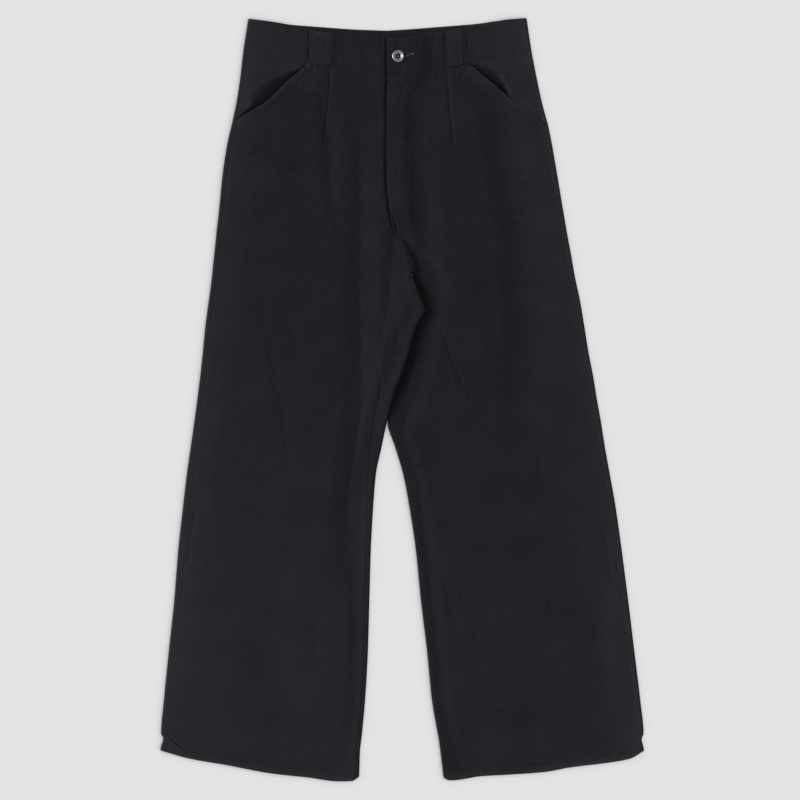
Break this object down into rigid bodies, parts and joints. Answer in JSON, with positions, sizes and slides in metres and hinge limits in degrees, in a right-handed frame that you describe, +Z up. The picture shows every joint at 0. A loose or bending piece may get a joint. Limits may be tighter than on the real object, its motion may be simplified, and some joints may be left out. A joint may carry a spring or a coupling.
{
  "type": "high-waisted wide-leg trousers",
  "caption": "Black high-waisted wide-leg cotton trousers laid flat, with slanting pockets, belt loops and a metal jeans button.",
  "frame": {"origin": "centre of the bounding box's underside, on the surface that the trousers lie on", "axes": "+Y runs up the trousers from the hems to the waist, +X to the wearer's left, +Z up from the surface"},
  "size_m": [0.6766, 1.0672, 0.0115],
  "materials": {
    "cloth": "matte",
    "button_metal": "satin"
  },
  "bodies": {
    "root": {"front_right": "cloth", "front_left": "cloth", "back_right": "cloth", "back_left": "cloth", "hip_right": "cloth", "hip_left": "cloth", "waistband": "cloth", "belt_loop_right": "cloth", "belt_loop_left": "cloth", "button_ring": "button_metal", "button_rivet": "button_metal"}
  },
  "joints": []
}
